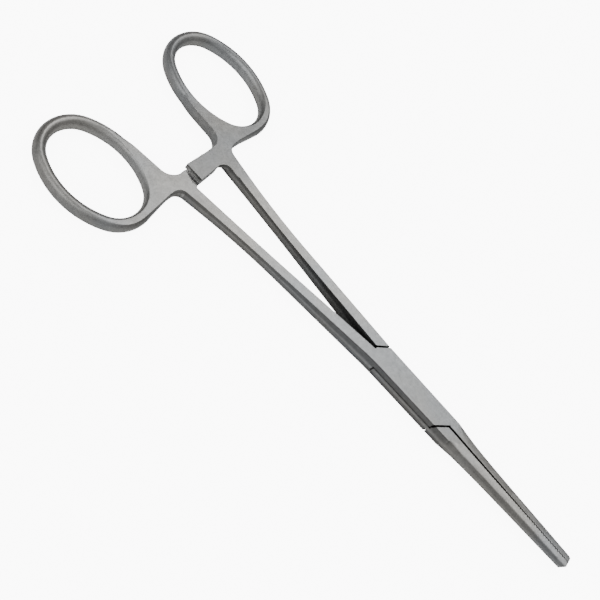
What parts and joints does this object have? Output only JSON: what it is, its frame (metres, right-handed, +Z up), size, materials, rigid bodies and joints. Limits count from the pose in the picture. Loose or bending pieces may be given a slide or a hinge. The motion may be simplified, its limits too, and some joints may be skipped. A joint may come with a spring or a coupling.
{
  "type": "hemostat forceps",
  "caption": "Straight box-lock artery forceps with oval finger rings, a toothed ratchet between the shanks and finely cross-serrated jaws.",
  "frame": {"origin": "on the pin axis, at the flat underside of the box lock", "axes": "+X towards the jaw tips, +Z up along the pin, out of the top face of the lock"},
  "size_m": [0.1608, 0.0643, 0.0053],
  "materials": {
    "satin_steel": "satin"
  },
  "bodies": {
    "box": {"box_half": "satin_steel", "lock_pin": "satin_steel"},
    "male": {"male_half": "satin_steel"}
  },
  "joints": [
    {"name": "box_lock", "type": "hinge", "parent": "box", "child": "male", "pos_m": [0, 0, 0], "axis": [0, 0, -1], "range_deg": [0, 45]}
  ]
}
